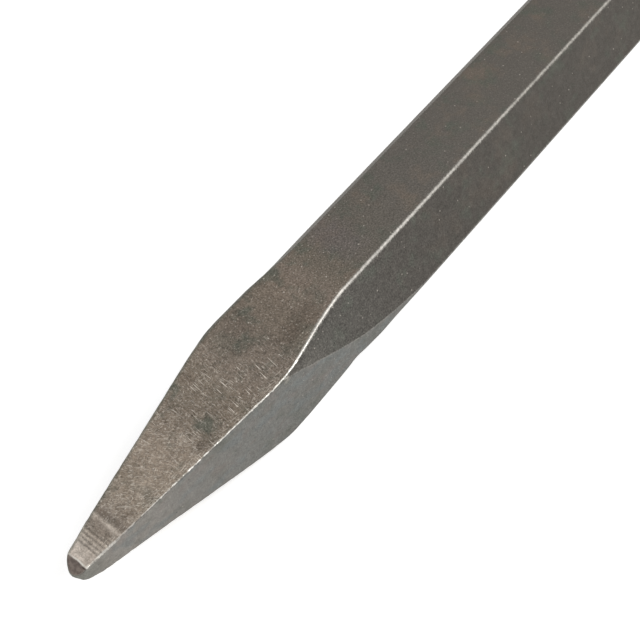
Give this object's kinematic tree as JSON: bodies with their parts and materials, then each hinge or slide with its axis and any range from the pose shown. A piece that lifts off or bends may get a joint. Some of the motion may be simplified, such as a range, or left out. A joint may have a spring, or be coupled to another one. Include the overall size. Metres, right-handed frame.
{
  "type": "sds pointed chisel",
  "caption": "Forged steel chisel for a rotary hammer: hexagonal bar drawn to a blunt square point, with a grooved quick-change shank at the struck end.",
  "frame": {"origin": "centre of the flat end face that the hammer strikes, on the axis", "axes": "+X along the axis from the struck end face to the point, +Z out of one flat of the hexagon, +Y towards a corner of the hexagon"},
  "size_m": [0.25, 0.016, 0.014],
  "materials": {
    "forged_steel": "blasted and tempered, dull dark grey, with bright worn edges"
  },
  "bodies": {
    "root": {"chisel": "forged_steel"}
  },
  "joints": []
}
